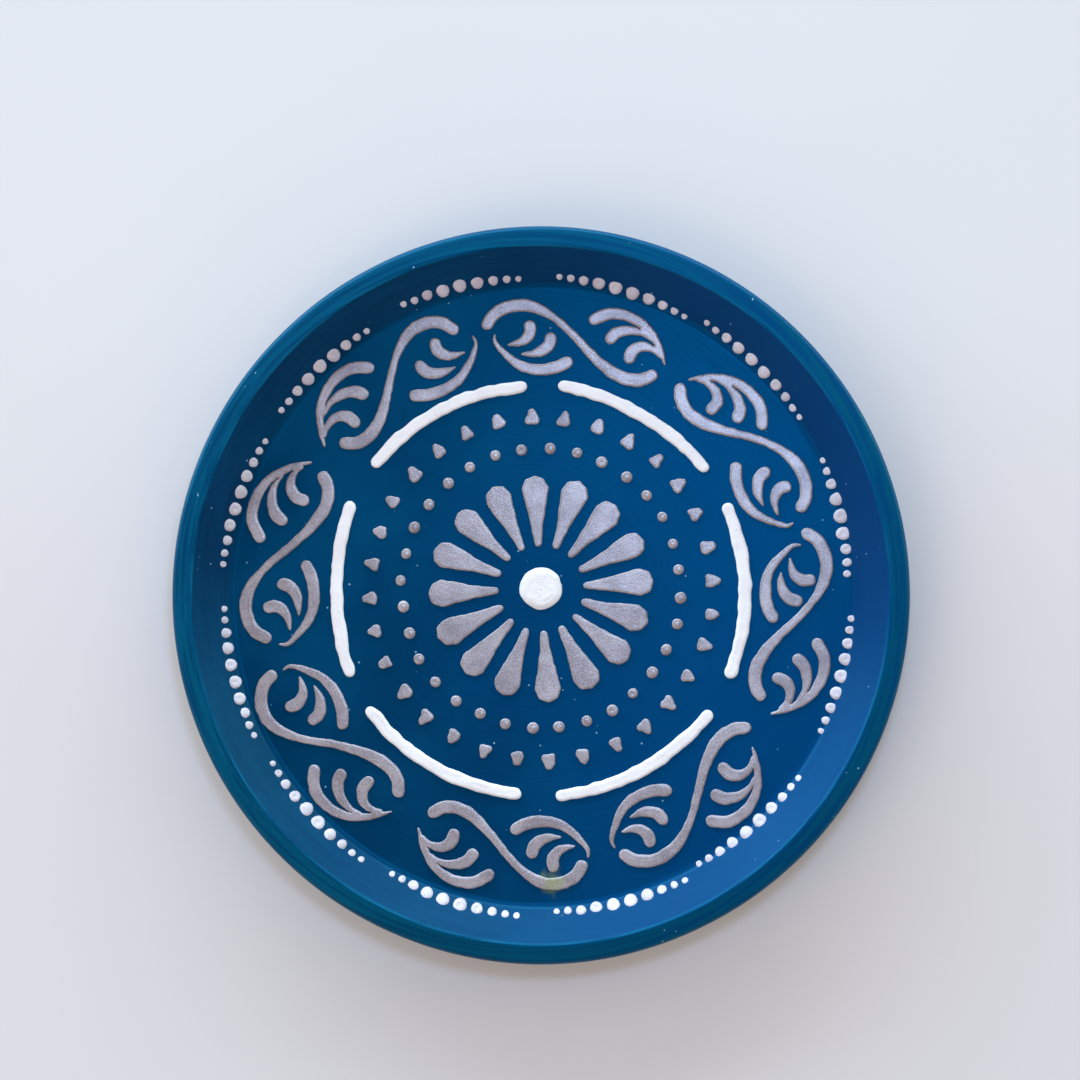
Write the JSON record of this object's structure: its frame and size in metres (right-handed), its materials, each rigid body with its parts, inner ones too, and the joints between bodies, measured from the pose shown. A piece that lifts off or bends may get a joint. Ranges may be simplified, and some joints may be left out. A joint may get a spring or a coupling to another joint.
{
  "type": "hand painted ceramic plate",
  "caption": "Round shallow ceramic dish with a sloping wall, a flat lip and a foot ring, coated blue, with a raised painted rosette, arcs, scrolls and dots on its face.",
  "frame": {"origin": "centre of the foot ring's lower face, on the surface that the plate rests on", "axes": "+Z is the plate's axis and points out of the painted face; +Y points to the pattern's top; +X points to the right of the painted face"},
  "size_m": [0.25, 0.25, 0.0234],
  "materials": {
    "bare_clay": "unglazed fired clay, bare on the foot ring and in the recess inside it",
    "blue_face_coat": "brushed deep blue coat with a satin gloss, circular brush streaks on the lip and fine pale specks",
    "blue_back_coat": "the same deep blue brushed round the outside of the wall, satin gloss",
    "pearl_paint": "thick pearly champagne relief paint with brush ridges, softly shining",
    "white_paint": "thick off-white relief paint, satin, with small pits",
    "dot_paint": "pale pearly relief paint set down in round drops, satin, some with a small dimple"
  },
  "bodies": {
    "root": {"clay_body": "bare_clay", "face_coat": "blue_face_coat", "back_coat": "blue_back_coat", "centre_dot": "white_paint", "ring_dots": "pearl_paint", "ring_triangles": "pearl_paint", "petal_1": "pearl_paint", "petal_2": "pearl_paint", "petal_3": "pearl_paint", "petal_4": "pearl_paint", "petal_5": "pearl_paint", "petal_6": "pearl_paint", "petal_7": "pearl_paint", "petal_8": "pearl_paint", "petal_9": "pearl_paint", "petal_10": "pearl_paint", "petal_11": "pearl_paint", "petal_12": "pearl_paint", "petal_13": "pearl_paint", "petal_14": "pearl_paint", "petal_15": "pearl_paint", "petal_16": "pearl_paint", "white_arc_1": "white_paint", "white_arc_2": "white_paint", "white_arc_3": "white_paint", "white_arc_4": "white_paint", "white_arc_5": "white_paint", "white_arc_6": "white_paint", "scroll_1": "pearl_paint", "scroll_2": "pearl_paint", "scroll_3": "pearl_paint", "scroll_4": "pearl_paint", "scroll_5": "pearl_paint", "scroll_6": "pearl_paint", "scroll_7": "pearl_paint", "scroll_8": "pearl_paint", "leaves_1": "pearl_paint", "leaves_2": "pearl_paint", "leaves_3": "pearl_paint", "leaves_4": "pearl_paint", "leaves_5": "pearl_paint", "leaves_6": "pearl_paint", "leaves_7": "pearl_paint", "leaves_8": "pearl_paint", "dot_run_1": "dot_paint", "dot_run_2": "dot_paint", "dot_run_3": "dot_paint", "dot_run_4": "dot_paint", "dot_run_5": "dot_paint", "dot_run_6": "dot_paint", "dot_run_7": "dot_paint", "dot_run_8": "dot_paint", "dot_run_9": "dot_paint", "dot_run_10": "dot_paint", "dot_run_11": "dot_paint", "dot_run_12": "dot_paint"}
  },
  "joints": []
}
